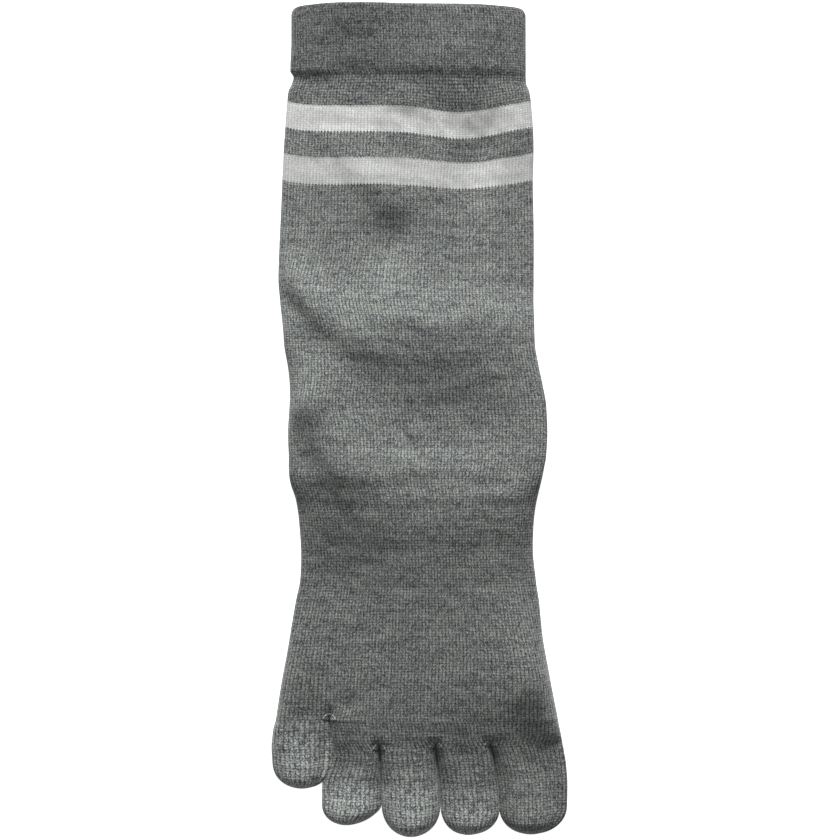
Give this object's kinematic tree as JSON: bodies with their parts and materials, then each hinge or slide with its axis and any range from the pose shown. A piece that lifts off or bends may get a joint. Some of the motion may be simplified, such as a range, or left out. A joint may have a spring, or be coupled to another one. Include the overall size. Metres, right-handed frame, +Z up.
{
  "type": "toe sock",
  "caption": "Knitted toe sock laid flat with its instep up: a turned cuff, pale stripes round the leg, the heel folded under, and a separate pocket for each toe.",
  "frame": {"origin": "on the floor under the middle of the sock's bounding box", "axes": "+X towards the big toe's side, +Y from the toes to the cuff, +Z up out of the instep"},
  "size_m": [0.1106, 0.3128, 0.0144],
  "materials": {
    "grey_marl": "matte marl knit",
    "grey_rib": "matte marl knit, double",
    "white_yarn": "matte off-white knit"
  },
  "bodies": {
    "root": {"cuff": "grey_rib", "top_band": "grey_marl", "stripe_upper": "white_yarn", "mid_band": "grey_marl", "stripe_lower": "white_yarn", "leg": "grey_marl", "heel": "grey_marl", "foot": "grey_marl", "toe_base": "grey_marl", "toe_little": "grey_marl", "toe_fourth": "grey_marl", "toe_middle": "grey_marl", "toe_second": "grey_marl", "toe_big": "grey_marl"}
  },
  "joints": []
}
